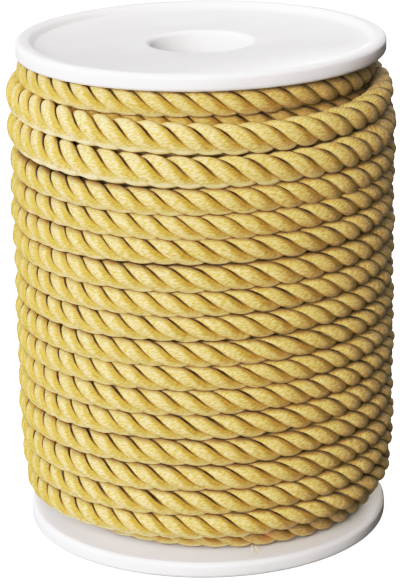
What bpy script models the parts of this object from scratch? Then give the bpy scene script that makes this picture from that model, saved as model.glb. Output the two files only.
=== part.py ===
"""Twisted cord wound on a plastic spool.

The spool stands on its lower flange. Its axis is Z, the floor is z = 0 and the
front, where the heights of the turns are named, looks towards -Y. Metres.
"""

import math

import bmesh
import bpy
from mathutils import Vector

# Driving sizes
MM = 0.001
CORD_DIAMETER = 5.2 * MM
FLANGE_RADIUS = 37.0 * MM
SPOOL_HEIGHT = 101.3 * MM
FLANGE_THICKNESS = 3.3 * MM
RIM_ROUND = 0.9 * MM
RIM_WIDTH = 2.6 * MM
DISH_DEPTH = 1.3 * MM
DISH_SLOPE = 1.2 * MM
BORE_RADIUS = 10.2 * MM
BORE_LIP = 0.9 * MM
BARREL_RADIUS = 12.4 * MM
PIECE_GAP = 0.3 * MM
MERGE_DISTANCE = 0.001 * MM
LEVEL_TOLERANCE = 0.01 * MM

# How finely round things are cut
SPOOL_SEGMENTS = 64
WOUND_SEGMENTS = 44
ARC_STEPS = 3
DISH_STEPS = 3

# The outer layer of the winding, turn by turn. A turn is counted at the front, the cord
# climbs to the right, and the rows between whole turns show where it comes out from under.
# height and radius place the middle of the cord, tilt lifts a turn's left side
# where it is below zero, and sag drops its front below its back. In millimetres.
TURN_COLUMNS = ("turn", "height", "radius", "tilt", "sag")
TURN_ROWS = (
    (-3.00, -4.6, 30.0, 0.0, 0.0),
    (-1.00, 5.7, 30.6, -0.2, 0.0),
    (-0.75, 6.8, 33.6, -0.2, 0.0),
    (-0.40, 8.5, 35.0, -0.2, 0.0),
    (0.00, 10.7, 35.4, -0.2, 0.1),
    (1.00, 15.9, 36.0, -0.2, 0.2),
    (2.00, 20.9, 36.3, -0.2, 0.4),
    (3.00, 26.3, 36.3, 0.1, 0.4),
    (4.00, 31.6, 36.2, -0.2, 0.2),
    (5.00, 36.7, 36.3, -0.2, 0.1),
    (6.00, 41.6, 36.4, -0.2, 0.1),
    (7.00, 46.4, 36.3, -0.2, 0.4),
    (8.00, 51.5, 36.2, -0.2, 0.6),
    (9.00, 56.5, 36.2, -0.3, 0.6),
    (10.00, 61.5, 36.4, -0.3, 0.7),
    (11.00, 66.9, 36.4, -0.4, 0.6),
    (12.00, 71.7, 36.3, -0.5, 0.8),
    (13.00, 76.6, 36.4, -0.8, 1.0),
    (14.00, 82.0, 36.6, -1.1, 1.3),
    (15.00, 88.4, 36.4, -1.3, 1.9),
    (15.50, 91.9, 35.4, -1.2, 1.5),
    (16.00, 95.3, 33.4, -0.8, 0.8),
    (17.40, 103.6, 31.0, 0.0, 0.0),
)

# Where the ridged surface is cut between one turn's crest (0) and the next one's (1)
RIDGE_CUTS = (0.12, 0.38, 0.50, 0.62, 0.88)
VALLEY_CUT = 0.50
VALLEY_DEPTH = 2.1 * MM
FIRST_TURN = -3
LAST_TURN = 16

SPOOL_COLOUR = (0.86, 0.84, 0.84, 1.0)
CORD_COLOUR = (0.62, 0.44, 0.14, 1.0)


def clear_scene():
    for item in list(bpy.data.objects):
        bpy.data.objects.remove(item, do_unlink=True)


def make_material(name, colour, roughness):
    material = bpy.data.materials.new(name)
    material.use_nodes = True
    shader = material.node_tree.nodes["Principled BSDF"]
    shader.inputs["Base Color"].default_value = colour
    shader.inputs["Roughness"].default_value = roughness
    shader.inputs["Metallic"].default_value = 0.0
    material.diffuse_color = colour
    return material


def make_object(name, mesh_edit, material):
    mesh = bpy.data.meshes.new(name)
    mesh_edit.to_mesh(mesh)
    mesh_edit.free()
    mesh.shade_smooth()
    mesh.set_sharp_from_angle(angle=math.radians(40))
    mesh.materials.append(material)
    item = bpy.data.objects.new(name, mesh)
    bpy.context.scene.collection.objects.link(item)
    return item


def arc(centre_r, centre_z, radius, start, end):
    """Points of a rounded corner, from the angle start to the angle end, in degrees."""
    points = []
    for step in range(ARC_STEPS + 1):
        angle = math.radians(start + (end - start) * step / ARC_STEPS)
        points.append((centre_r + radius * math.cos(angle), centre_z + radius * math.sin(angle)))
    return points


def lower_flange_outline():
    """Half the spool's section, from the bore's lip out round the rim to the barrel's foot."""
    dish_edge = FLANGE_RADIUS - RIM_WIDTH - DISH_SLOPE
    points = arc(BORE_RADIUS + BORE_LIP, DISH_DEPTH + BORE_LIP, BORE_LIP, 180, 270)
    for step in range(DISH_STEPS + 1):
        share = step / DISH_STEPS
        fall = 0.5 + 0.5 * math.cos(math.pi * share)
        points.append((dish_edge + DISH_SLOPE * share, DISH_DEPTH * fall))
    points += arc(FLANGE_RADIUS - RIM_ROUND, RIM_ROUND, RIM_ROUND, 270, 360)
    points += arc(FLANGE_RADIUS - RIM_ROUND, FLANGE_THICKNESS - RIM_ROUND, RIM_ROUND, 0, 90)
    points.append((BARREL_RADIUS, FLANGE_THICKNESS))
    return points


def make_spool(material):
    """One moulded piece: two dished flanges with a raised rim, on a hollow barrel."""
    lower = lower_flange_outline()
    upper = [(r, SPOOL_HEIGHT - z) for r, z in reversed(lower)]
    edit = bmesh.new()
    corners = [edit.verts.new((r, 0.0, z)) for r, z in lower + upper]
    edges = [edit.edges.new((a, b)) for a, b in zip(corners, corners[1:] + corners[:1])]
    bmesh.ops.spin(
        edit,
        geom=corners + edges,
        cent=(0.0, 0.0, 0.0),
        axis=(0.0, 0.0, 1.0),
        angle=math.tau,
        steps=SPOOL_SEGMENTS,
        use_merge=True,
    )
    bmesh.ops.remove_doubles(edit, verts=edit.verts, dist=MERGE_DISTANCE)
    bmesh.ops.recalc_face_normals(edit, faces=edit.faces)
    return make_object("spool", edit, material)


def read_turn(turn, column):
    """A column of the table of turns, read at any place along the cord."""
    place = TURN_COLUMNS.index(column)
    for low, high in zip(TURN_ROWS, TURN_ROWS[1:]):
        if turn <= high[0]:
            share = (turn - low[0]) / (high[0] - low[0])
            return low[place] + (high[place] - low[place]) * share
    return TURN_ROWS[-1][place]


def cord_middle(turn):
    """Radius and height of the cord's middle after that many turns round the axis."""
    angle = math.tau * (turn % 1.0)
    lift = read_turn(turn, "tilt") * math.sin(angle)
    lift += read_turn(turn, "sag") * (1.0 - math.cos(angle))
    return read_turn(turn, "radius") * MM, (read_turn(turn, "height") + lift) * MM


def ridge_point(turn, cut, angle):
    """A point of the wound surface, between one turn's crest and the next one's above it."""
    here = turn + angle / math.tau
    radius_low, height_low = cord_middle(here)
    radius_high, height_high = cord_middle(here + 1.0)
    height = height_low + (height_high - height_low) * cut
    if cut < VALLEY_CUT:
        radius = radius_low
    elif cut > VALLEY_CUT:
        radius = radius_high
    else:
        radius = (radius_low + radius_high) / 2
    half = CORD_DIAMETER / 2
    reach = half * min(cut, 1.0 - cut) / VALLEY_CUT
    crest = math.sqrt(half * half - reach * reach)
    out = max(crest, half - VALLEY_DEPTH)
    # The front looks towards -Y, and the angle grows to the right, seen from there
    flat = Vector((math.sin(angle), -math.cos(angle), 0.0)) * (radius + out)
    return Vector((flat.x, flat.y, height))


def ridged_skin():
    """The winding's outer skin: rows follow the cord, and a row's end meets the next turn."""
    edit = bmesh.new()
    rows = []
    for turn in range(FIRST_TURN, LAST_TURN + 1):
        for cut in RIDGE_CUTS:
            angles = [math.tau * step / WOUND_SEGMENTS for step in range(WOUND_SEGMENTS)]
            rows.append([edit.verts.new(ridge_point(turn, cut, angle)) for angle in angles])
    rows_in_turn = len(RIDGE_CUTS)
    for low, high in zip(range(len(rows)), range(1, len(rows))):
        for step in range(WOUND_SEGMENTS - 1):
            edit.faces.new(
                (rows[low][step], rows[low][step + 1], rows[high][step + 1], rows[high][step])
            )
        if high + rows_in_turn < len(rows):
            next_low, next_high = rows[low + rows_in_turn], rows[high + rows_in_turn]
            edit.faces.new((rows[low][-1], next_low[0], next_high[0], rows[high][-1]))
    return edit


def cut_flat(edit, height, upwards):
    """Cuts the skin off level at a flange and closes it with a flat face."""
    bmesh.ops.bisect_plane(
        edit,
        geom=edit.verts[:] + edit.edges[:] + edit.faces[:],
        dist=MERGE_DISTANCE,
        plane_co=(0.0, 0.0, height),
        plane_no=(0.0, 0.0, 1.0 if upwards else -1.0),
        clear_outer=True,
    )
    rim = []
    for edge in edit.edges:
        level = all(abs(corner.co.z - height) < LEVEL_TOLERANCE for corner in edge.verts)
        if edge.is_boundary and level:
            rim.append(edge)
    bmesh.ops.edgeloop_fill(edit, edges=rim)


def make_barrel_cutter():
    """A plain cylinder that frees the winding from the spool's barrel."""
    edit = bmesh.new()
    bmesh.ops.create_cone(
        edit,
        cap_ends=True,
        segments=WOUND_SEGMENTS,
        radius1=BARREL_RADIUS + PIECE_GAP,
        radius2=BARREL_RADIUS + PIECE_GAP,
        depth=SPOOL_HEIGHT * 2,
    )
    mesh = bpy.data.meshes.new("barrel_cutter")
    edit.to_mesh(mesh)
    edit.free()
    cutter = bpy.data.objects.new("barrel_cutter", mesh)
    bpy.context.scene.collection.objects.link(cutter)
    cutter.display_type = "WIRE"
    cutter.hide_render = True
    return cutter


def make_wound_cord(material):
    """The wound form: every turn of the outer layer is a ridge at its real height and radius."""
    edit = ridged_skin()
    cut_flat(edit, FLANGE_THICKNESS + PIECE_GAP, upwards=False)
    cut_flat(edit, SPOOL_HEIGHT - FLANGE_THICKNESS - PIECE_GAP, upwards=True)
    bmesh.ops.recalc_face_normals(edit, faces=edit.faces)
    item = make_object("wound_cord", edit, material)
    hole = item.modifiers.new("barrel_hole", "BOOLEAN")
    hole.operation = "DIFFERENCE"
    hole.object = make_barrel_cutter()
    return item


clear_scene()
make_spool(make_material("spool_plastic", SPOOL_COLOUR, 0.35))
make_wound_cord(make_material("gold_cord", CORD_COLOUR, 0.5))
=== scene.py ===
# %% [markdown]
# # A gold twisted cord wound on a white plastic spool
#
# The real thing is a roll of thick trimming: about 17 m of three-ply cord, wound in
# layers on a moulded spool that stands on its lower flange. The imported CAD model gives
# the spool and the wound form. This lesson dresses it: it makes the cord out of its
# three plies, gives both materials their finish, and sets up a plain studio.
#
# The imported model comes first, because every later piece takes its place from it.

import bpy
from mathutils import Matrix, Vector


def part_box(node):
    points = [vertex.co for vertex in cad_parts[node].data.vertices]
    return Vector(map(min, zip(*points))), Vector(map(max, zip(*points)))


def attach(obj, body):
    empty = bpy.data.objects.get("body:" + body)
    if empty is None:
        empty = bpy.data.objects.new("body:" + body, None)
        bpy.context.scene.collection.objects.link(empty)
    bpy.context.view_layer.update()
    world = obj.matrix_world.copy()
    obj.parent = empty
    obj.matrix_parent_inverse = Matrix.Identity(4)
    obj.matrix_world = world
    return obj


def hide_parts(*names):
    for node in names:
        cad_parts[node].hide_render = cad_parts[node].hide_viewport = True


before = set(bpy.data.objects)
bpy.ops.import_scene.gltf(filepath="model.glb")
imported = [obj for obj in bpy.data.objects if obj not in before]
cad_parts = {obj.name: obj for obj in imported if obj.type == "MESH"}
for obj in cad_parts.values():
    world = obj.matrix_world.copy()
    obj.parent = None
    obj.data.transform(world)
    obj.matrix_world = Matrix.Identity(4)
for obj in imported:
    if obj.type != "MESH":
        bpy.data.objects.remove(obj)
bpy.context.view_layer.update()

# %% [markdown]
# ## Sizes
#
# The flange radius and the spool's height are read from the CAD node, so the looks
# follow the part if its size ever changes. Blender works in metres here, and the small
# sizes of a cord read better in millimetres, so each one is written as a number times MM.

# %% Read the sizes
import math

import bpy
import numpy as np
from mathutils import Matrix, Vector

MM = 0.001
_, spool_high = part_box("spool")
flange_radius = spool_high.x
spool_height = spool_high.z
print(f"flange radius {flange_radius / MM:.1f} mm, spool height {spool_height / MM:.1f} mm")

# %% [markdown]
# ## The camera
#
# The photograph was taken with a long lens from a little above the roll. The two
# flanges show as ellipses of known size, and that is enough to find where the camera
# stood. The lens is shifted slightly, as a product photographer does to keep the sides of
# an upright object nearly parallel. Places are given in flange radii, as they were found.

# %% Place the camera
PHOTO_WIDE = 400
PHOTO_HIGH = 584
FOCAL_PIXELS = 2446.4
STRAIGHT_AHEAD_PIXEL = (170, 251.4)
CAMERA_BACK_RADII = 12.945
CAMERA_UP_RADII = 5.418
CAMERA_YAW = math.radians(-0.830)
CAMERA_PITCH = math.radians(16.747)
CAMERA_ROLL = math.radians(-1.184)
SENSOR = 36.0

camera_data = bpy.data.cameras.new("photo_camera")
camera_data.sensor_width = SENSOR
camera_data.lens = FOCAL_PIXELS / PHOTO_HIGH * SENSOR
camera_data.shift_x = (PHOTO_WIDE / 2 - STRAIGHT_AHEAD_PIXEL[0]) / PHOTO_HIGH
camera_data.shift_y = (STRAIGHT_AHEAD_PIXEL[1] - PHOTO_HIGH / 2) / PHOTO_HIGH
camera = bpy.data.objects.new("photo_camera", camera_data)
bpy.context.scene.collection.objects.link(camera)

ahead = Vector(
    (
        math.sin(CAMERA_YAW) * math.cos(CAMERA_PITCH),
        math.cos(CAMERA_YAW) * math.cos(CAMERA_PITCH),
        -math.sin(CAMERA_PITCH),
    )
)
level_right = ahead.cross(Vector((0.0, 0.0, 1.0))).normalized()
level_up = level_right.cross(ahead)
camera_right = math.cos(CAMERA_ROLL) * level_right + math.sin(CAMERA_ROLL) * level_up
camera_up = math.cos(CAMERA_ROLL) * level_up - math.sin(CAMERA_ROLL) * level_right
camera_place = Matrix((camera_right, camera_up, -ahead)).transposed().to_4x4()
camera_place.translation = (
    0.0,
    -CAMERA_BACK_RADII * flange_radius,
    CAMERA_UP_RADII * flange_radius,
)
camera.matrix_world = camera_place
bpy.context.scene.camera = camera
camera_distance = camera_place.translation.length
print(f"lens {camera_data.lens:.1f} mm, camera {camera_distance:.2f} m from the roll's foot")

# %% [markdown]
# ## The floor
#
# The picture was taken on white, and the floor is white paper. It is brighter for the
# camera than for the roll, because a lit white floor would fill the dark right side with
# light. The Light Path node tells the two apart, so one plain square can be both.

# %% Floor
FLOOR_HALF = 4.0
FLOOR_FOR_ROLL = (0.10, 0.085, 0.07, 1.0)
FLOOR_FOR_CAMERA = (0.93, 0.93, 0.93, 1.0)
FLOOR_GLOW = 1.6


def new_node(tree, kind, place, **settings):
    """Adds a node at a place in the tree's drawing, with its settings."""
    node = tree.nodes.new(kind)
    node.location = place
    for name, value in settings.items():
        setattr(node, name, value)
    return node


def make_floor():
    mesh = bpy.data.meshes.new("studio_floor")
    corners = [(-1, -1), (1, -1), (1, 1), (-1, 1)]
    points = [(x * FLOOR_HALF, y * FLOOR_HALF, 0.0) for x, y in corners]
    mesh.from_pydata(points, [], [(0, 1, 2, 3)])
    floor = bpy.data.objects.new("studio_floor", mesh)
    bpy.context.scene.collection.objects.link(floor)
    material = bpy.data.materials.new("white_paper")
    material.use_nodes = True
    tree = material.node_tree
    tree.nodes.clear()
    seen_by = new_node(tree, "ShaderNodeLightPath", (-600, 300))
    for_roll = new_node(tree, "ShaderNodeBsdfDiffuse", (-400, 100))
    for_roll.inputs["Color"].default_value = FLOOR_FOR_ROLL
    paper = new_node(tree, "ShaderNodeBsdfDiffuse", (-600, -60))
    paper.inputs["Color"].default_value = FLOOR_FOR_CAMERA
    glow = new_node(tree, "ShaderNodeEmission", (-600, -200))
    glow.inputs["Strength"].default_value = FLOOR_GLOW
    bright = new_node(tree, "ShaderNodeAddShader", (-400, -100))
    choose = new_node(tree, "ShaderNodeMixShader", (-200, 100))
    out = new_node(tree, "ShaderNodeOutputMaterial", (0, 100))
    tree.links.new(paper.outputs["BSDF"], bright.inputs[0])
    tree.links.new(glow.outputs["Emission"], bright.inputs[1])
    tree.links.new(seen_by.outputs["Is Camera Ray"], choose.inputs["Fac"])
    tree.links.new(for_roll.outputs["BSDF"], choose.inputs[1])
    tree.links.new(bright.outputs["Shader"], choose.inputs[2])
    tree.links.new(choose.outputs["Shader"], out.inputs["Surface"])
    mesh.materials.append(material)
    return floor


make_floor()
print("floor, m across:", 2 * FLOOR_HALF)

# %% [markdown]
# ## The studio lights
#
# One very broad soft light on the left wraps round the roll: its left side is pale, and
# its right edge falls into brown. A large area light gives such light, and a second one in
# front and above carries it round. One from above and behind keeps the upper flange evenly
# pale. A weak fill on the right and a low light behind are there for views from the side
# and the back. The low one stays under the face of the upper flange, because grazing light
# would draw every unevenness on it.
#
# The surroundings are white for the camera and nearly dark for the roll, as the floor is.

# %% Surroundings and lights
SURROUNDINGS_FOR_ROLL = 0.02
SURROUNDINGS_FOR_CAMERA = 2.2
LIGHT_TARGET = Vector((0.0, 0.0, 0.5 * spool_height))
# The name, azimuth and elevation in degrees, distance and size in metres, watts, colour
STUDIO_LIGHTS = (
    ("broad_left_light", -82, 8, 1.2, 0.9, 22.0, (0.80, 0.86, 1.0)),
    ("front_light", -15, 24, 1.6, 0.8, 40.0, (1.0, 0.99, 0.96)),
    ("top_light", -155, 70, 2.2, 1.8, 41.0, (1.0, 1.0, 1.0)),
    ("right_fill_light", 145, 15, 1.6, 1.2, 5.0, (1.0, 0.96, 0.88)),
    ("far_light", 175, 0, 1.6, 0.18, 18.0, (1.0, 0.96, 0.88)),
)


def make_surroundings():
    world = bpy.data.worlds.new("white_studio")
    world.use_nodes = True
    tree = world.node_tree
    tree.nodes.clear()
    seen_by = new_node(tree, "ShaderNodeLightPath", (-600, 300))
    strength = new_node(tree, "ShaderNodeMapRange", (-400, 200))
    strength.inputs["To Min"].default_value = SURROUNDINGS_FOR_ROLL
    strength.inputs["To Max"].default_value = SURROUNDINGS_FOR_CAMERA
    light = new_node(tree, "ShaderNodeBackground", (-200, 100))
    light.inputs["Color"].default_value = (1.0, 1.0, 1.0, 1.0)
    out = new_node(tree, "ShaderNodeOutputWorld", (0, 100))
    tree.links.new(seen_by.outputs["Is Camera Ray"], strength.inputs["Value"])
    tree.links.new(strength.outputs["Result"], light.inputs["Strength"])
    tree.links.new(light.outputs["Background"], out.inputs["Surface"])
    bpy.context.scene.world = world


def make_soft_light(name, azimuth, elevation, distance, size, power, colour):
    """A square area light that faces the roll. Azimuth 0 is the camera's side, 90 the right."""
    light = bpy.data.lights.new(name, "AREA")
    light.shape = "SQUARE"
    light.size = size
    light.energy = power
    light.color = colour
    around, up = math.radians(azimuth), math.radians(elevation)
    flat = math.cos(up) * distance
    place = Vector((math.sin(around) * flat, -math.cos(around) * flat, math.sin(up) * distance))
    item = bpy.data.objects.new(name, light)
    item.location = LIGHT_TARGET + place
    item.rotation_euler = (-place).to_track_quat("-Z", "Y").to_euler()
    bpy.context.scene.collection.objects.link(item)
    return item


make_surroundings()
for light_row in STUDIO_LIGHTS:
    make_soft_light(*light_row)

# %% [markdown]
# ## The film curve
#
# A camera does not record light in a straight line: its curve presses the brightest tones
# together and keeps the dark ones deep. That is why the crests of the cord are cream and not
# white, and why the plastic stays a touch under pure white. The film curve below does this,
# from light in to light out, and the background is bright enough to reach its end.

# %% Film curve
PRINT_CONTRAST = 0.92
FILM_CURVE = (
    (0.00, 0.000),
    (0.10, 0.085),
    (0.20, 0.180),
    (0.44, 0.475),
    (0.62, 0.630),
    (0.80, 0.735),
    (0.95, 0.815),
    (1.15, 0.895),
    (1.50, 0.955),
    (2.10, 1.000),
)
view = bpy.context.scene.view_settings
view.view_transform = "Standard"
view.gamma = PRINT_CONTRAST
view.use_curve_mapping = True
film = view.curve_mapping
film.clip_max_x = FILM_CURVE[-1][0]
film.curves[3].points[0].location = FILM_CURVE[0]
film.curves[3].points[1].location = FILM_CURVE[-1]
for light_in, light_out in FILM_CURVE[1:-1]:
    film.curves[3].points.new(light_in, light_out)
film.update()
print("film curve from", FILM_CURVE[0], "to", FILM_CURVE[-1])

# %% [markdown]
# ## A helper that makes a skin from rings
#
# Every piece here is a skin stretched over rings of points: a ply is a tube whose rings
# follow the cord, and the spool is a half section turned round an axis. numpy works all
# the points out at once, and the mesh takes them in a few calls, which keeps a cord of
# several hundred thousand faces down to seconds. Each corner also gets a place in a UV
# map, because the yarns' pattern has to follow the ply and not the room.

# %% Skin from rings
STRAND_MAP = "strand_map"


def skin_over_rings(name, rings, along=None, across=None, closed_along=False):
    """A mesh object over rings[row][column], closed round each ring. along and across
    are the two map values of the rows and of the columns, and across has one more."""
    rows, columns = rings.shape[:2]
    row = np.arange(rows if closed_along else rows - 1)
    column = np.arange(columns)
    row, column = (grid.ravel() for grid in np.meshgrid(row, column, indexing="ij"))
    next_row, next_column = (row + 1) % rows, (column + 1) % columns
    corners = np.stack(
        (
            row * columns + column,
            next_row * columns + column,
            next_row * columns + next_column,
            row * columns + next_column,
        ),
        axis=1,
    )
    mesh = bpy.data.meshes.new(name)
    mesh.vertices.add(rows * columns)
    mesh.vertices.foreach_set("co", rings.reshape(-1).astype(np.float32))
    mesh.loops.add(corners.size)
    mesh.loops.foreach_set("vertex_index", corners.ravel().astype(np.int32))
    mesh.polygons.add(len(corners))
    mesh.polygons.foreach_set("loop_start", np.arange(0, corners.size, 4, dtype=np.int32))
    mesh.update(calc_edges=True)
    mesh.shade_smooth()
    if along is not None:
        places = np.empty((len(corners), 4, 2), np.float32)
        places[:, (0, 3), 0] = along[row][:, None]
        places[:, (1, 2), 0] = along[next_row][:, None]
        places[:, (0, 1), 1] = across[column][:, None]
        places[:, (2, 3), 1] = across[column + 1][:, None]
        layer = mesh.uv_layers.new(name=STRAND_MAP)
        layer.uv.foreach_set("vector", places.ravel())
    mesh.validate()
    item = bpy.data.objects.new(name, mesh)
    bpy.context.scene.collection.objects.link(item)
    return item


# %% [markdown]
# ## The way the cord runs
#
# The cord goes round and round the spool in one length. The photograph shows each turn
# of the outer layer, so its height and radius are a short table, one row for a turn. A
# turn is counted at the front. The turns lean a little, which the tilt and sag columns
# give, and the last turns slip in under the upper flange. The layer below was wound
# downwards, so its rows come first, and its lowest turn climbs out to become the outer one.
#
# The swell column makes the cord fuller where no turn presses on it, as in the last turns
# before the upper flange, which are fat on the left side.
#
# Straight lines between the rows would leave a kink in the cord at each row. A running
# average over part of a turn rounds them off, and a slow wander keeps the winding from
# looking made by a machine.

# %% The cord's middle line
CORD_DIAMETER = 5.2 * MM
FLANGE_THICKNESS = 3.3 * MM
# Height, radius, tilt and sag in millimetres, and swell as a share of the cord's height
TURN_COLUMNS = ("turn", "height", "radius", "tilt", "sag", "swell")
TURN_ROWS = (
    (-18.50, 97.0, 29.0, 0.0, 0.0, 1.00),
    (-17.60, 94.0, 31.4, 0.0, 0.0, 1.00),
    (-2.00, 11.0, 32.0, 0.0, 0.0, 1.00),
    (-1.30, 7.4, 28.2, 0.0, 0.0, 1.00),
    (-1.00, 6.6, 29.7, -0.2, 0.0, 1.00),
    (-0.75, 7.0, 33.4, -0.2, 0.0, 1.00),
    (-0.40, 8.7, 35.0, -0.2, 0.0, 1.00),
    (0.00, 10.9, 35.5, -0.2, 0.1, 1.00),
    (1.00, 16.1, 36.1, -0.2, 0.2, 1.00),
    (2.00, 21.1, 36.3, -0.2, 0.4, 1.00),
    (3.00, 26.5, 36.3, 0.1, 0.4, 1.02),
    (4.00, 31.8, 36.2, -0.2, 0.2, 1.01),
    (5.00, 36.9, 36.3, -0.2, 0.1, 1.00),
    (6.00, 41.8, 36.4, -0.2, 0.1, 0.97),
    (7.00, 46.6, 36.3, -0.2, 0.4, 0.97),
    (8.00, 51.7, 36.2, -0.2, 0.6, 0.98),
    (9.00, 56.7, 36.2, -0.3, 0.6, 0.99),
    (10.00, 61.7, 36.4, -0.3, 0.7, 1.02),
    (11.00, 67.1, 36.4, -0.4, 0.6, 1.01),
    (12.00, 71.9, 36.3, -0.5, 0.8, 0.98),
    (13.00, 76.8, 36.4, -0.8, 1.0, 1.02),
    (13.80, 81.2, 36.6, -2.2, 1.3, 1.28),
    (14.00, 82.4, 36.6, -1.5, 1.3, 1.18),
    (14.80, 87.4, 36.5, -2.2, 1.9, 1.26),
    (15.00, 88.6, 36.4, -1.8, 1.9, 1.16),
    (15.50, 91.9, 35.4, -1.2, 1.5, 1.02),
    (16.00, 95.1, 33.4, -0.8, 0.8, 1.00),
    (16.60, 97.0, 30.6, 0.0, 0.0, 1.00),
)
FIRST_TURN = TURN_ROWS[0][0]
LAST_TURN = TURN_ROWS[-1][0]
OUTER_LAYER_FROM = -1.3
ROUND_OFF = 0.22
POINTS_IN_TURN = 720
WANDER_OUT = 0.10 * MM
WANDER_UP = 0.08 * MM
SPARE_ROOM = 0.1 * MM


def slow_wander(places, wavelength, seed):
    """A smooth random line along places, about between -1 and 1, the same on each run."""
    chance = np.random.default_rng(seed)
    total = np.zeros_like(places)
    for _ in range(5):
        length = wavelength * chance.uniform(0.6, 1.7)
        total += np.sin(places * math.tau / length + chance.uniform(0, math.tau))
    return total / 2.5


def read_column(name, turns):
    place = TURN_COLUMNS.index(name)
    rows = np.array(TURN_ROWS)
    return np.interp(turns, rows[:, 0], rows[:, place])


def rounded_off(values):
    """The running average that takes the kinks out, with the ends held where they are."""
    reach = int(ROUND_OFF * POINTS_IN_TURN)
    window = np.hanning(2 * reach + 1)
    held = np.pad(values, reach, mode="edge")
    return np.convolve(held, window / window.sum(), mode="valid")


def cord_line():
    """Turns, lengths and points along the middle of the cord, from its inner end on."""
    count = int((LAST_TURN - FIRST_TURN) * POINTS_IN_TURN) + 1
    turns = np.linspace(FIRST_TURN, LAST_TURN, count)
    angle = math.tau * (turns % 1.0)
    height = read_column("height", turns)
    height += read_column("tilt", turns) * np.sin(angle)
    height += read_column("sag", turns) * (1.0 - np.cos(angle))
    height = rounded_off(height * MM) + WANDER_UP * slow_wander(turns, 0.31, 11)
    radius = rounded_off(read_column("radius", turns) * MM)
    radius = radius + WANDER_OUT * slow_wander(turns, 0.23, 12)
    room = FLANGE_THICKNESS + 0.5 * CORD_DIAMETER + SPARE_ROOM
    height = np.clip(height, room, spool_height - room)
    points = np.stack((radius * np.sin(angle), -radius * np.cos(angle), height), axis=1)
    steps = np.linalg.norm(np.diff(points, axis=0), axis=1)
    lengths = np.concatenate(((0.0,), np.cumsum(steps)))
    return turns, lengths, points


line_turns, line_lengths, line_points = cord_line()
outer_length = line_lengths[-1] - np.interp(OUTER_LAYER_FROM, line_turns, line_lengths)
below_length = line_lengths[-1] - outer_length
print(f"outer layer {outer_length:.2f} m of cord, layer below {below_length:.2f} m")

# %% [markdown]
# ## Three plies twisted together
#
# The cord is laid from three thick plies. Each ply is itself a bundle of fine rayon
# yarns twisted the other way, so on the finished cord the plies run down to the right and
# the yarns on them run slightly up to the right. A ply could be a curve with a bevel, but
# then the places on its skin are out of reach. Here each ply is a tube of rings round a
# helix that follows the cord's middle line, and its map tells where the yarns lie: the
# first value counts how often a yarn has gone round the ply, and the second is the place
# round the ply, with the seam on the hidden inner side.
#
# First come the directions at each place along the cord: forward, outward and upward.

# %% Directions along the cord


def unit(vectors):
    return vectors / np.linalg.norm(vectors, axis=1, keepdims=True)


def made_square(vectors, direction):
    """The vectors with what runs along direction taken away, at length one."""
    along = np.sum(vectors * direction, axis=1, keepdims=True)
    return unit(vectors - along * direction)


def cord_frame(lengths):
    """Turns, middle points and outward and upward directions at lengths along the cord."""
    turns = np.interp(lengths, line_lengths, line_turns)
    middle = np.stack([np.interp(lengths, line_lengths, line_points[:, i]) for i in range(3)], 1)
    forward = unit(np.gradient(middle, axis=0))
    angle = math.tau * (turns % 1.0)
    away = np.stack((np.sin(angle), -np.cos(angle), np.zeros(len(lengths))), axis=1)
    outward = made_square(away, forward)
    return turns, middle, outward, np.cross(outward, forward)


print(f"cord line from turn {FIRST_TURN} to turn {LAST_TURN}")

# %% [markdown]
# ### The rings of one ply
#
# The plies press into each other in the middle of the cord, so their tubes overlap there,
# and the groove that is left between two of them is about a quarter of the cord deep. They
# are pressed a little flat, which gives broad crests and narrow grooves. A real cord is
# nowhere quite even, so the twist, the place of each ply and its thickness wander slowly,
# each over a length of its own.

# %% Rings of one ply
PLY_COUNT = 3
PLY_OFFSET = 1.42 * MM
PLY_RADIUS = 1.30 * MM
PLY_FLATNESS = 0.10
LAY_LENGTH = 14.6 * MM
FULLNESS = 0.03
# How much each thing wanders, and over about what length of cord
TWIST_WANDER = (0.35, 60 * MM)
OFFSET_WANDER = (0.05, 23 * MM)
RADIUS_WANDER = (0.035, 9 * MM)


def wander(lengths, seed, amount, wavelength):
    return amount * slow_wander(lengths, wavelength, seed)


def ply_rings(number, sides, lengths, turns, middle, outward, upward):
    """The rings of one ply's tube, made taller where the swell column says so."""
    twist = math.tau * number / PLY_COUNT - math.tau * lengths / LAY_LENGTH
    twist = twist + wander(lengths, 21, *TWIST_WANDER)
    out = np.cos(twist)[:, None] * outward + np.sin(twist)[:, None] * upward
    offset = PLY_OFFSET * (1.0 + wander(lengths, 31 + number, *OFFSET_WANDER))
    centre = middle + offset[:, None] * out
    ply_forward = unit(np.gradient(centre, axis=0))
    ply_out = made_square(out, ply_forward)
    ply_up = np.cross(ply_out, ply_forward)
    radius = PLY_RADIUS * (1.0 + wander(lengths, 41 + number, *RADIUS_WANDER))
    round_ply = np.linspace(-math.pi, math.pi, sides, endpoint=False)
    reach = radius[:, None] * (1.0 - PLY_FLATNESS * np.cos(2.0 * round_ply))
    rings = (
        centre[:, None, :]
        + (reach * np.cos(round_ply))[:, :, None] * ply_out[:, None, :]
        + (reach * np.sin(round_ply))[:, :, None] * ply_up[:, None, :]
    )
    height_share = np.sum((rings - middle[:, None, :]) * upward[:, None, :], axis=2)
    swell = read_column("swell", turns) - 1.0 + FULLNESS
    return rings + (swell[:, None] * height_share)[:, :, None] * upward[:, None, :]


print(f"{PLY_COUNT} plies, one full twist every {LAY_LENGTH / MM:.1f} mm")
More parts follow.
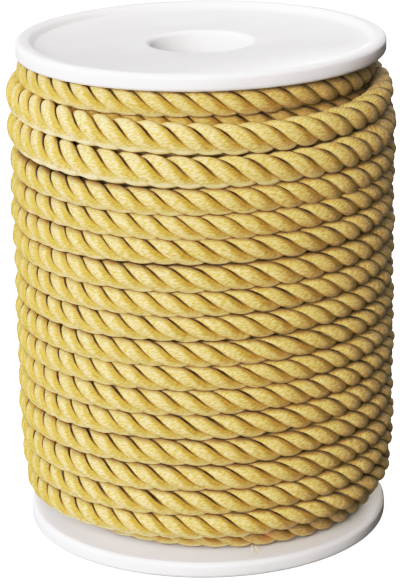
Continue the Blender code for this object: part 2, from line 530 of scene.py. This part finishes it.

# %% [markdown]
# ### What the material needs to know
#
# Three values are kept at each point of the skin for the material: how high it lies on the cord,
# how far it has gone into the crevice under the next turn, which the material darkens with painted
# shade, and how near it is to one spot near the cord's lowest turn that the photograph shows in a
# warmer tone. The crevice value also carries painted shade onto the cord where the outer turns or
# the upper flange cover it.

# %% Shades on the skin
# The crevice value is painted shade: it darkens the colour under the next turn and where outer
# turns or the upper flange cover the cord
CREVICE_SHADE = "crevice_shade"
CREVICE_FROM = 0.75
OPEN_TOP_TURN = 13.55
COVERED_RADIUS = 34.0 * MM
CLIMBING_TURNS = 0.7
SHADE_BELOW = 0.45
SHADE_CLIMBING = 0.30
SHADE_UNDER_FLANGE = 0.50
SHADE_FADE = 2.0 * MM
HIGH_ON_CORD = "high_on_cord"
WARM_SPOT = "warm_spot"
WARM_SPOT_SIZE = 1.3 * MM
WARM_SPOT_PLACE = np.array((11.6, -30.8, 6.6)) * MM


def keep_shades(ply, rings, turns, middle, upward):
    """Keeps the three values that the material reads at each point of a ply."""
    up_share = np.sum((rings - middle[:, None, :]) * upward[:, None, :], axis=2) / CORD_DIAMETER * 2
    # Painted shade: the top of each turn under the next one, and the covered parts
    crevice_shade = np.clip((up_share - CREVICE_FROM) / (1.0 - CREVICE_FROM), 0.0, 1.0)
    crevice_shade[turns > OPEN_TOP_TURN] = 0.0
    depth = COVERED_RADIUS - np.linalg.norm(middle[:, :2], axis=1)
    covered = np.clip(depth / SHADE_FADE, 0.0, 1.0)
    climbing = np.where(turns < 0.0, SHADE_CLIMBING, SHADE_UNDER_FLANGE)
    hidden = np.where(turns < OUTER_LAYER_FROM - CLIMBING_TURNS, SHADE_BELOW, climbing)
    crevice_shade = np.maximum(crevice_shade, (hidden * covered)[:, None])
    high_on_cord = 0.5 + 0.5 * up_share
    from_spot = np.linalg.norm(rings - WARM_SPOT_PLACE, axis=2)
    warm_spot = np.exp(-((from_spot / WARM_SPOT_SIZE) ** 2))
    shades = ((CREVICE_SHADE, crevice_shade), (HIGH_ON_CORD, high_on_cord), (WARM_SPOT, warm_spot))
    for label, values in shades:
        attribute = ply.data.attributes.new(label, "FLOAT", "POINT")
        attribute.data.foreach_set("value", values.ravel().astype(np.float32))


print("values kept on the skin:", CREVICE_SHADE, HIGH_ON_CORD, WARM_SPOT)

# %% [markdown]
# ### The plies themselves
#
# Each ply is made in two lengths, the outer layer and the layer below. The layer below
# shows only in gaps, so it gets fewer rings and fewer sides.

# %% Make the plies
YARN_WRAP = 5.0 * MM
OUTER_STEPS_IN_LAY = 24
OUTER_SIDES = 14
INNER_STEPS_IN_LAY = 14
INNER_SIDES = 10
LAYERS = (
    ("outer_layer", OUTER_LAYER_FROM, LAST_TURN, OUTER_STEPS_IN_LAY, OUTER_SIDES),
    ("layer_below", FIRST_TURN, OUTER_LAYER_FROM, INNER_STEPS_IN_LAY, INNER_SIDES),
)


def make_ply(name, number, first_turn, last_turn, steps_in_lay, sides):
    start, stop = np.interp((first_turn, last_turn), line_turns, line_lengths)
    lengths = np.linspace(start, stop, int((stop - start) / LAY_LENGTH * steps_in_lay) + 1)
    turns, middle, outward, upward = cord_frame(lengths)
    rings = ply_rings(number, sides, lengths, turns, middle, outward, upward)
    ply = skin_over_rings(name, rings, lengths / YARN_WRAP, np.arange(sides + 1) / sides)
    keep_shades(ply, rings, turns, middle, upward)
    return ply


plies = []
for number in range(PLY_COUNT):
    for layer, *span in LAYERS:
        plies.append(make_ply(f"ply_{number + 1}_{layer}", number, *span))
for ply in plies:
    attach(ply, "root")
    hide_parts("wound_cord")
    print(ply.name, len(ply.data.polygons) * 2, "triangles")

# %% [markdown]
# ## The layers further in
#
# Four more layers of the same cord lie between these two and the barrel. Nothing of them can be
# seen but a dark hint between the turns, so one ridged sleeve stands for them, with a ridge for
# each turn of the next layer. It has the painted crevice shade all over, which makes it as dark as
# the gaps that it would be seen through.

# %% Make the sleeve of inner turns
SLEEVE_RADIUS = 29.2 * MM
SLEEVE_RIDGE = 0.9 * MM
SLEEVE_TURNS = 18
SLEEVE_COLUMNS = 96
SLEEVE_STEPS_IN_TURN = 6
WRAPS_A_STEP = 0.2
WRAPS_ROUND_SLEEVE = 40
BARREL_RADIUS = 12.4 * MM
PIECE_GAP = 0.3 * MM


def turned_section(section, columns):
    """Rings of a half section of radii and heights, turned round the roll's axis. The last
    point comes first, because that order makes the skin face outwards."""
    angle = np.linspace(0.0, math.tau, columns, endpoint=False)
    rings = np.empty((len(section), columns, 3))
    rings[:, :, 0] = section[:, :1] * np.sin(angle)
    rings[:, :, 1] = section[:, :1] * -np.cos(angle)
    rings[:, :, 2] = section[:, 1:]
    return rings[::-1]


def make_sleeve():
    low = FLANGE_THICKNESS + PIECE_GAP
    high = spool_height - low
    share = np.linspace(0.0, 1.0, SLEEVE_TURNS * SLEEVE_STEPS_IN_TURN + 1)
    ridge = np.abs(np.sin(share * SLEEVE_TURNS * math.pi)) - 1.0
    outer = np.stack((SLEEVE_RADIUS + SLEEVE_RIDGE * ridge, low + (high - low) * share), axis=1)
    bore = BARREL_RADIUS + PIECE_GAP
    section = np.concatenate((((bore, low),), outer, ((bore, high),)))
    rings = turned_section(section, SLEEVE_COLUMNS)
    along = np.arange(len(section)) * WRAPS_A_STEP
    across = np.arange(SLEEVE_COLUMNS + 1) / SLEEVE_COLUMNS * WRAPS_ROUND_SLEEVE
    return skin_over_rings("inner_turns", rings, along, across, closed_along=True)


sleeve = make_sleeve()
# Painted shade: the sleeve is dark all over
sleeve_shade = sleeve.data.attributes.new(CREVICE_SHADE, "FLOAT", "POINT")
sleeve_shade.data.foreach_set("value", np.ones(len(sleeve.data.vertices), np.float32))
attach(sleeve, "root")
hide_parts("wound_cord")
print(sleeve.name, len(sleeve.data.polygons) * 2, "triangles")

# %% [markdown]
# ## Stray fibres
#
# Rayon yarn always sheds a few fibres. Some short ones lift off the cord all round, and a
# small tuft hangs from the lowest turn a little right of the front. A hair system could
# grow them, but a few dozen thin tubes in one mesh are lighter and stay the same in every
# program. First come their paths, each bent a little between its root and its tip.

# %% Paths of the stray fibres
FIBRE_COUNT = 90
FIBRE_RINGS = 7
FIBRE_TURNS = (0.0, 15.0)
FIBRE_SWING = math.radians(50.0)
FIBRE_ROOT = 0.15 * MM
FIBRE_REACH = 1.3 * MM
TUFT_ANGLE = math.radians(16.0)
# Degrees from the tuft's angle, then radius and height in millimetres
TUFT_STARTS = ((-1.0, 33.0, 5.0), (0.0, 33.1, 4.7))
TUFT_ENDS = ((-1.8, 34.0, 4.0), (0.9, 34.8, 3.5))
TUFT_BULGE = 0.25 * MM


def round_axis(radius, angle, height):
    """The point at a radius, an angle from the front to the right, and a height."""
    return np.array((radius * math.sin(angle), -radius * math.cos(angle), height))


def bent_path(start, end, bulge):
    """Points from start to end, pushed out in the middle by the vector bulge."""
    share = np.linspace(0.0, 1.0, FIBRE_RINGS)[:, None]
    return start + (end - start) * share + bulge * np.sin(share * math.pi)


def tuft_paths():
    paths = []
    for first, last in zip(TUFT_STARTS, TUFT_ENDS):
        start = round_axis(first[1] * MM, TUFT_ANGLE + math.radians(first[0]), first[2] * MM)
        end = round_axis(last[1] * MM, TUFT_ANGLE + math.radians(last[0]), last[2] * MM)
        paths.append(bent_path(start, end, round_axis(TUFT_BULGE, TUFT_ANGLE, 0.0)))
    return paths


def loose_paths():
    chance = np.random.default_rng(7)
    paths = []
    for _ in range(FIBRE_COUNT):
        turn = chance.uniform(*FIBRE_TURNS)
        middle = np.array([np.interp(turn, line_turns, line_points[:, i]) for i in range(3)])
        away = round_axis(1.0, math.tau * (turn % 1.0), 0.0)
        along = np.cross((0.0, 0.0, 1.0), away)
        round_cord = chance.uniform(-FIBRE_SWING, FIBRE_SWING)
        outward = away * math.cos(round_cord) + np.array((0.0, 0.0, math.sin(round_cord)))
        start = middle + outward * (0.5 * CORD_DIAMETER - FIBRE_ROOT)
        lean = along * chance.uniform(-1.0, 1.0) + np.array((0.0, 0.0, chance.uniform(-0.5, 0.7)))
        end = start + lean * FIBRE_REACH + outward * chance.uniform(0.0, 0.3) * MM
        paths.append(bent_path(start, end, outward * chance.uniform(0.15, 0.35) * MM))
    return paths


tuft, loose = tuft_paths(), loose_paths()
print("fibres in the tuft and loose:", len(tuft), len(loose))

# %% [markdown]
# ### Tubes along the paths
#
# Each path becomes a tube with four sides that thins out towards its tip.

# %% Make the stray fibres
FIBRE_RADIUS = 0.035 * MM
TUFT_RADIUS = 0.12 * MM
FIBRE_THINS_BY = 0.7
# Any direction that no fibre runs along will do to start a fibre's cross-section from
OFF_FIBRE = (0.3, 0.5, 0.8)


def make_fibres(name, paths, radii):
    corners, faces = [], []
    for path, radius in zip(paths, radii):
        direction = (path[-1] - path[0]) / np.linalg.norm(path[-1] - path[0])
        side = np.cross(direction, OFF_FIBRE)
        side /= np.linalg.norm(side)
        other = np.cross(direction, side)
        first = len(corners)
        for ring, point in enumerate(path):
            size = radius * (1.0 - FIBRE_THINS_BY * ring / (FIBRE_RINGS - 1))
            corners += [point + size * v for v in (side, other, -side, -other)]
        for ring in range(FIBRE_RINGS - 1):
            for corner in range(4):
                low, high = first + ring * 4, first + ring * 4 + 4
                after = (corner + 1) % 4
                faces.append((low + corner, low + after, high + after, high + corner))
    mesh = bpy.data.meshes.new(name)
    mesh.from_pydata([tuple(corner) for corner in corners], [], faces)
    mesh.shade_smooth()
    item = bpy.data.objects.new(name, mesh)
    bpy.context.scene.collection.objects.link(item)
    return item


radii = [TUFT_RADIUS] * len(tuft) + [FIBRE_RADIUS] * len(loose)
fibres = make_fibres("stray_fibres", tuft + loose, radii)
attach(fibres, "root")
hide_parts("wound_cord")
print(fibres.name, len(fibres.data.polygons) * 2, "triangles")

# %% [markdown]
# ## The moulded spool
#
# The spool is one white moulding: two flanges, each with a raised rim round a shallow
# dish, on a hollow barrel. The CAD solid has the right shape and coarse roundings. This
# piece has the same section with many more steps, so that the light runs softly over the
# rim and into the bore, and it stands exactly where the solid is.

# %% Turn the spool
SPOOL_COLUMNS = 192
RIM_ROUND = 0.9 * MM
RIM_WIDTH = 2.6 * MM
DISH_DEPTH = 1.3 * MM
DISH_SLOPE = 1.2 * MM
BORE_RADIUS = 10.2 * MM
BORE_LIP = 0.9 * MM
ARC_STEPS = 10
SHARP_FROM = math.radians(40)


def arc(centre_r, centre_z, radius, start, stop):
    """Points of a rounded corner, from the angle start to the angle stop, in degrees."""
    angles = np.radians(np.linspace(start, stop, ARC_STEPS + 1))
    return [(centre_r + radius * math.cos(a), centre_z + radius * math.sin(a)) for a in angles]


def flange_section():
    """Half of the lower flange's section, from the bore's lip out round the rim."""
    dish_edge = flange_radius - RIM_WIDTH - DISH_SLOPE
    points = arc(BORE_RADIUS + BORE_LIP, DISH_DEPTH + BORE_LIP, BORE_LIP, 180, 270)
    for share in np.linspace(0.0, 1.0, ARC_STEPS + 1):
        fall = 0.5 + 0.5 * math.cos(math.pi * share)
        points.append((dish_edge + DISH_SLOPE * share, DISH_DEPTH * fall))
    points += arc(flange_radius - RIM_ROUND, RIM_ROUND, RIM_ROUND, 270, 360)
    points += arc(flange_radius - RIM_ROUND, FLANGE_THICKNESS - RIM_ROUND, RIM_ROUND, 0, 90)
    points.append((BARREL_RADIUS, FLANGE_THICKNESS))
    return points


def make_spool():
    lower = flange_section()
    section = np.array(lower + [(r, spool_height - z) for r, z in reversed(lower)])
    rings = turned_section(section, SPOOL_COLUMNS)
    item = skin_over_rings("moulded_spool", rings, closed_along=True)
    item.data.set_sharp_from_angle(angle=SHARP_FROM)
    return item


spool = make_spool()
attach(spool, "root")
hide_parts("spool")
print(spool.name, len(spool.data.polygons) * 2, "triangles")

# %% [markdown]
# ## Effects that both materials use
#
# Nothing made of yarn or plastic has exactly the same tone all over. A node group of soft
# clouds gives that slow unevenness, at a size that each material chooses. It is built once
# and placed in both materials.

# %% Soft clouds


def new_group(name, inputs, outputs):
    """An empty shader group. inputs are (name, kind, starting value), outputs (name, kind)."""
    group = bpy.data.node_groups.new(name, "ShaderNodeTree")
    for label, kind, value in inputs:
        socket = group.interface.new_socket(label, in_out="INPUT", socket_type=kind)
        if value is not None:
            socket.default_value = value
    for label, kind in outputs:
        group.interface.new_socket(label, in_out="OUTPUT", socket_type=kind)
    start = new_node(group, "NodeGroupInput", (-900, 0))
    end = new_node(group, "NodeGroupOutput", (700, 0))
    return group, start, end


def maths(tree, operation, place, first, second=None, third=None):
    """A Math node. Each value is a number or the socket that it comes from."""
    node = new_node(tree, "ShaderNodeMath", place, operation=operation)
    for socket, value in zip(node.inputs, (first, second, third)):
        if isinstance(value, bpy.types.NodeSocket):
            tree.links.new(value, socket)
        elif value is not None:
            socket.default_value = value
    return node.outputs["Value"]


def map_range(tree, place, value, low, high, kind="LINEAR"):
    """A Map Range node: 0 where the value is low, 1 where it is high, and held beyond."""
    node = new_node(tree, "ShaderNodeMapRange", place, interpolation_type=kind)
    node.inputs["From Min"].default_value = low
    node.inputs["From Max"].default_value = high
    tree.links.new(value, node.inputs["Value"])
    return node.outputs["Result"]


def build_soft_clouds():
    group, start, end = new_group(
        "soft_clouds",
        [("Place", "NodeSocketVector", None), ("Patches a Metre", "NodeSocketFloat", 100.0)],
        [("Mask", "NodeSocketFloat")],
    )
    noise = new_node(group, "ShaderNodeTexNoise", (-500, 0))
    noise.inputs["Detail"].default_value = 3.0
    group.links.new(start.outputs["Place"], noise.inputs["Vector"])
    group.links.new(start.outputs["Patches a Metre"], noise.inputs["Scale"])
    mask = map_range(group, (-200, 0), noise.outputs["Fac"], 0.3, 0.7)
    group.links.new(mask, end.inputs["Mask"])
    return group


soft_clouds = build_soft_clouds()
print(soft_clouds.name, [socket.name for socket in soft_clouds.interface.items_tree])

# %% [markdown]
# ## The yarns on a ply
#
# A ply is wrapped in fine shiny yarns. Modelled one by one they would need millions of
# faces, so they are relief and tone here. The ply's map gives both coordinates: the place
# round the ply less the wraps along it stays the same along one yarn. Counting yarns over
# that value gives each yarn its rounded top, and noise stretched along it gives each one
# its own tone.
#
# The place round the ply also tells how far a point lies from the crest. The upper flank turns away
# from the light over a wide band, and the lower one only just before the groove, so the mask of
# painted flank shade is wider on one side than on the other. A second mask marks the bottom of the
# groove, where a brown line of painted shade goes.

# %% Fine yarns
SWAY_SCALE = 5.0
TONES_A_WRAP = 8.5
TONE_SCALE = 1.05
TONE_RANGE = (0.41, 0.55)
# Places round the ply, counted from 0 at the seam through 0.5 at the crest to 1
CREST = 0.5
# The two flank bands mark where painted shade deepens the gold
UPPER_FLANK = (0.535, 0.64)
LOWER_FLANK = (0.33, 0.22)
# The groove bottom marks a line of painted brown shade
GROOVE_BOTTOM = (0.206, 0.242)


def build_fine_yarns():
    group, start, end = new_group(
        "fine_yarns",
        [
            ("Strand Map", "NodeSocketVector", None),
            ("Yarns Round", "NodeSocketFloat", 18.0),
            ("Wobble", "NodeSocketFloat", 0.6),
        ],
        [
            ("Height", "NodeSocketFloat"),
            ("Tone", "NodeSocketFloat"),
            ("Flank Shade", "NodeSocketFloat"),
            ("Depth", "NodeSocketFloat"),
        ],
    )
    parts = new_node(group, "ShaderNodeSeparateXYZ", (-700, 0))
    group.links.new(start.outputs["Strand Map"], parts.inputs["Vector"])
    wraps, place = parts.outputs["X"], parts.outputs["Y"]
    same_yarn = maths(group, "SUBTRACT", (-520, 0), place, wraps)
    counted = maths(group, "MULTIPLY", (-340, 0), same_yarn, start.outputs["Yarns Round"])
    sway_place = new_node(group, "ShaderNodeCombineXYZ", (-520, -260))
    group.links.new(wraps, sway_place.inputs["X"])
    group.links.new(place, sway_place.inputs["Y"])
    sway = new_node(group, "ShaderNodeTexNoise", (-340, -260))
    sway.inputs["Scale"].default_value = SWAY_SCALE
    sway.inputs["Detail"].default_value = 1.0
    group.links.new(sway_place.outputs["Vector"], sway.inputs["Vector"])
    moved = maths(
        group, "MULTIPLY_ADD", (-160, 0), sway.outputs["Fac"], start.outputs["Wobble"], counted
    )
    saw = maths(group, "PINGPONG", (20, 0), moved, 0.5)
    edge = maths(group, "MULTIPLY_ADD", (200, 0), saw, -2.0, 1.0)
    square = maths(group, "POWER", (340, 0), edge, 2.0)
    top = maths(group, "SUBTRACT", (500, 0), 1.0, square)
    group.links.new(top, end.inputs["Height"])
    tone_place = new_node(group, "ShaderNodeCombineXYZ", (20, -260))
    group.links.new(moved, tone_place.inputs["X"])
    along = maths(group, "MULTIPLY", (-160, -420), wraps, TONES_A_WRAP)
    group.links.new(along, tone_place.inputs["Y"])
    tone = new_node(group, "ShaderNodeTexNoise", (200, -260))
    tone.inputs["Scale"].default_value = TONE_SCALE
    tone.inputs["Detail"].default_value = 4.0
    group.links.new(tone_place.outputs["Vector"], tone.inputs["Vector"])
    spread = map_range(group, (380, -260), tone.outputs["Fac"], *TONE_RANGE)
    group.links.new(spread, end.inputs["Tone"])
    # Masks of painted shade: the flanks, and the line at the bottom of the groove
    upper = map_range(group, (20, 300), place, *UPPER_FLANK, "SMOOTHSTEP")
    lower = map_range(group, (20, 560), place, *LOWER_FLANK, "SMOOTHSTEP")
    flank_shade = maths(group, "MAXIMUM", (200, 400), upper, lower)
    group.links.new(flank_shade, end.inputs["Flank Shade"])
    from_crest = maths(group, "SUBTRACT", (-160, 760), place, CREST)
    sideways = maths(group, "ABSOLUTE", (20, 760), from_crest)
    groove_shade = map_range(group, (200, 700), sideways, *GROOVE_BOTTOM, "SMOOTHSTEP")
    group.links.new(groove_shade, end.inputs["Depth"])
    return group


fine_yarns = build_fine_yarns()
print(fine_yarns.name, [socket.name for socket in fine_yarns.interface.items_tree])

# %% [markdown]
# ## Satin gold yarn
#
# Rayon is dyed a warm pale gold and has a satin shine. Light that bounces from ply to ply in a
# groove meets the dye several times and comes out a stronger yellow, and less of it gets to the
# bottom. The colour has this painted in: a deeper gold of painted shade on the flank above a groove
# than on the crest, and a brown of painted shade at the bottom of the groove. Both fade towards the
# lower edge of the cord, where the light reaches in, and the brown line comes and goes, because no
# groove is equally tight all the way. The lowest edge of the cord catches light from the turn
# below, and that is painted in as a pale cream. The shine is wide and soft, and a little sheen
# stands for the fine fibres that stick out everywhere.
#
# The strand map drives the yarns, and the three values kept on the skin say where the flank's
# painted shade, the painted brown line, the painted light of the pale edge, the painted shade of
# the crevice and the warm spot come in.

# %% Colours and heights of the gold
PALE_GOLD = (0.88, 0.675, 0.325, 1.0)
WARM_GOLD = (0.64, 0.425, 0.09, 1.0)
# Painted shade: the deeper gold on the flank above a groove
FLANK_SHADE_GOLD = (0.50, 0.305, 0.032, 1.0)
# Painted shade: under the next turn and on covered turns
CREVICE_SHADE_GOLD = (0.25, 0.13, 0.012, 1.0)
# Painted shade: the brown line at the bottom of a groove
GROOVE_SHADE_BROWN = (0.05, 0.018, 0.002, 1.0)
# Painted light: the pale cream of the cord's lowest edge
EDGE_LIGHT_CREAM = (1.0, 0.83, 0.46, 1.0)
SPOT_ORANGE = (0.66, 0.33, 0.11, 1.0)
CLOUD_SHADE = (0.93, 0.91, 0.88, 1.0)
NO_SHADE = (1.0, 1.0, 1.0, 1.0)
SHEEN_GOLD = (1.0, 0.92, 0.70, 1.0)
YARNS_ROUND_PLY = 26.0
YARN_WOBBLE = 1.8
CORD_PATCHES_A_METRE = 260.0
YARN_RELIEF = 0.11 * MM
# Heights on the cord, 0 at its lowest edge and 1 at its highest, where the painted flank shade, the
# painted brown shade line and the painted edge light set in and where they are full
FLANK_SHADE_HEIGHTS = (0.10, 0.38)
LINE_SHADE_HEIGHTS = (0.36, 0.80)
EDGE_LIGHT_HEIGHTS = (0.20, 0.07)


def mix_colours(tree, place, amount, first, second, blend="MIX"):
    """A Mix node for colours. Each colour is a value or the socket that it comes from."""
    node = new_node(tree, "ShaderNodeMix", place, data_type="RGBA", blend_type=blend)
    sockets = (node.inputs[0], node.inputs[6], node.inputs[7])
    for socket, value in zip(sockets, (amount, first, second)):
        if isinstance(value, bpy.types.NodeSocket):
            tree.links.new(value, socket)
        else:
            socket.default_value = value
    return node.outputs[2]


def place_group(tree, group, place):
    node = new_node(tree, "ShaderNodeGroup", place)
    node.node_tree = group
    return node


print("relief of one yarn, mm:", YARN_RELIEF / MM)

# %% [markdown]
# ### The gold material
#
# The colours lie over each other in layers, like glazes: first the tone of each yarn and the slow
# clouds, then the painted light of the pale edge, the painted shade of the flank's gold, the
# painted shade of the crevice under the next turn, the painted brown shade line in the groove and
# last the warm spot. Each layer is a Mix node, and its factor is one of the masks.

# %% Gold cord material


def make_gold_cord():
    material = bpy.data.materials.new("satin_gold_yarn")
    material.use_nodes = True
    tree = material.node_tree
    shader = tree.nodes["Principled BSDF"]
    strand_map = new_node(tree, "ShaderNodeUVMap", (-1300, 0), uv_map=STRAND_MAP)
    yarns = place_group(tree, fine_yarns, (-1050, 0))
    yarns.inputs["Yarns Round"].default_value = YARNS_ROUND_PLY
    yarns.inputs["Wobble"].default_value = YARN_WOBBLE
    tree.links.new(strand_map.outputs["UV"], yarns.inputs["Strand Map"])
    coordinates = new_node(tree, "ShaderNodeTexCoord", (-1300, -300))
    clouds = place_group(tree, soft_clouds, (-1050, -300))
    clouds.inputs["Patches a Metre"].default_value = CORD_PATCHES_A_METRE
    tree.links.new(coordinates.outputs["Object"], clouds.inputs["Place"])
    yarn_tone = mix_colours(tree, (-800, 0), yarns.outputs["Tone"], WARM_GOLD, PALE_GOLD)
    patchy = mix_colours(tree, (-800, -250), clouds.outputs["Mask"], CLOUD_SHADE, NO_SHADE)
    toned = mix_colours(tree, (-600, 0), 1.0, yarn_tone, patchy, "MULTIPLY")
    high = new_node(tree, "ShaderNodeAttribute", (-1300, 500), attribute_name=HIGH_ON_CORD)
    # Painted shade: the deeper gold on the flank above each groove
    flank_share = map_range(tree, (-1050, 300), high.outputs["Fac"], *FLANK_SHADE_HEIGHTS)
    streaky = maths(tree, "MULTIPLY_ADD", (-1050, 150), yarns.outputs["Tone"], -0.30, 1.0)
    flank_shade_amount = maths(tree, "MULTIPLY", (-900, 150), streaky, flank_share)
    flank_shade = maths(tree, "MULTIPLY", (-800, 300), yarns.outputs["Flank Shade"], flank_shade_amount)
    line_share = map_range(tree, (-1050, 500), high.outputs["Fac"], *LINE_SHADE_HEIGHTS)
    # Painted light: pale cream along the cord's lowest edge
    edge = map_range(tree, (-1050, 900), high.outputs["Fac"], *EDGE_LIGHT_HEIGHTS)
    edge_lit = mix_colours(tree, (-500, 200), edge, toned, EDGE_LIGHT_CREAM)
    groove_shade = mix_colours(tree, (-400, 0), flank_shade, edge_lit, FLANK_SHADE_GOLD)
    # Painted shade: under the next turn and on the covered layers
    crevice_shade = new_node(tree, "ShaderNodeAttribute", (-1300, 300), attribute_name=CREVICE_SHADE)
    shaded = mix_colours(tree, (-300, 300), crevice_shade.outputs["Fac"], groove_shade, CREVICE_SHADE_GOLD)
    # Painted shade: the brown line at the bottom of each groove, which comes and goes
    uneven = maths(tree, "MULTIPLY_ADD", (-1050, 700), clouds.outputs["Mask"], 0.60, 0.70)
    drawn = maths(tree, "MULTIPLY", (-800, 700), line_share, uneven)
    line_shade = maths(tree, "MULTIPLY", (-800, 500), yarns.outputs["Depth"], drawn)
    darkest = mix_colours(tree, (-200, 100), line_shade, shaded, GROOVE_SHADE_BROWN)
    spot = new_node(tree, "ShaderNodeAttribute", (-400, 500), attribute_name=WARM_SPOT)
    spot_warmed = mix_colours(tree, (-100, 300), spot.outputs["Fac"], darkest, SPOT_ORANGE)
    tree.links.new(spot_warmed, shader.inputs["Base Color"])
    relief = new_node(tree, "ShaderNodeBump", (-400, -300))
    relief.inputs["Strength"].default_value = 1.0
    relief.inputs["Distance"].default_value = YARN_RELIEF
    tree.links.new(yarns.outputs["Height"], relief.inputs["Height"])
    tree.links.new(relief.outputs["Normal"], shader.inputs["Normal"])
    shader.inputs["Roughness"].default_value = 0.36
    shader.inputs["Specular IOR Level"].default_value = 0.5
    shader.inputs["Sheen Weight"].default_value = 0.12
    shader.inputs["Sheen Roughness"].default_value = 0.3
    shader.inputs["Sheen Tint"].default_value = SHEEN_GOLD
    return material


gold_cord = make_gold_cord()
for piece in (*plies, sleeve):
    piece.data.materials.append(gold_cord)
print("gold on", len(plies) + 1, "pieces")

# %% [markdown]
# ### A single fibre
#
# A lone fibre is too thin for a pattern: it is the pale gold of the dye, and it shines.

# %% Fibre material
FIBRE_ROUGHNESS = 0.35


def make_single_fibre():
    material = bpy.data.materials.new("single_rayon_fibre")
    material.use_nodes = True
    shader = material.node_tree.nodes["Principled BSDF"]
    shader.inputs["Base Color"].default_value = PALE_GOLD
    shader.inputs["Roughness"].default_value = FIBRE_ROUGHNESS
    return material


fibres.data.materials.append(make_single_fibre())
print("fibre gold on", fibres.name)

# %% [markdown]
# ## White moulded plastic
#
# The spool is plain white plastic with a soft sheen. Light goes a little way into it, so
# it has some subsurface scattering. Its surface is very slightly uneven from the mould:
# the tone and the shine change a little from place to place, and a fine grain softens the
# highlights.

# %% Spool plastic material
SPOOL_WHITE = (0.775, 0.75, 0.76, 1.0)
SPOOL_OFF_WHITE = (SPOOL_WHITE[0] * 0.985, SPOOL_WHITE[1] * 0.98, SPOOL_WHITE[2] * 0.98, 1.0)
SPOOL_PATCHES_A_METRE = 120.0
GRAINS_A_METRE = 900.0
GRAIN_RELIEF = 0.03 * MM
LIGHT_GOES_IN = 2.0 * MM


def make_spool_plastic():
    material = bpy.data.materials.new("white_moulded_plastic")
    material.use_nodes = True
    tree = material.node_tree
    shader = tree.nodes["Principled BSDF"]
    coordinates = new_node(tree, "ShaderNodeTexCoord", (-1300, 0))
    clouds = place_group(tree, soft_clouds, (-1050, 0))
    clouds.inputs["Patches a Metre"].default_value = SPOOL_PATCHES_A_METRE
    tree.links.new(coordinates.outputs["Object"], clouds.inputs["Place"])
    tone = mix_colours(tree, (-700, 0), clouds.outputs["Mask"], SPOOL_OFF_WHITE, SPOOL_WHITE)
    tree.links.new(tone, shader.inputs["Base Color"])
    shine = new_node(tree, "ShaderNodeMapRange", (-700, -250))
    shine.inputs["To Min"].default_value = 0.38
    shine.inputs["To Max"].default_value = 0.48
    tree.links.new(clouds.outputs["Mask"], shine.inputs["Value"])
    tree.links.new(shine.outputs["Result"], shader.inputs["Roughness"])
    grain = new_node(tree, "ShaderNodeTexNoise", (-1050, -450))
    grain.inputs["Scale"].default_value = GRAINS_A_METRE
    grain.inputs["Detail"].default_value = 2.0
    tree.links.new(coordinates.outputs["Object"], grain.inputs["Vector"])
    relief = new_node(tree, "ShaderNodeBump", (-400, -400))
    relief.inputs["Strength"].default_value = 0.15
    relief.inputs["Distance"].default_value = GRAIN_RELIEF
    tree.links.new(grain.outputs["Fac"], relief.inputs["Height"])
    tree.links.new(relief.outputs["Normal"], shader.inputs["Normal"])
    shader.inputs["Subsurface Weight"].default_value = 1.0
    shader.inputs["Subsurface Radius"].default_value = (1.0, 0.9, 0.9)
    shader.inputs["Subsurface Scale"].default_value = LIGHT_GOES_IN
    return material


spool.data.materials.append(make_spool_plastic())
print("plastic on", spool.name)
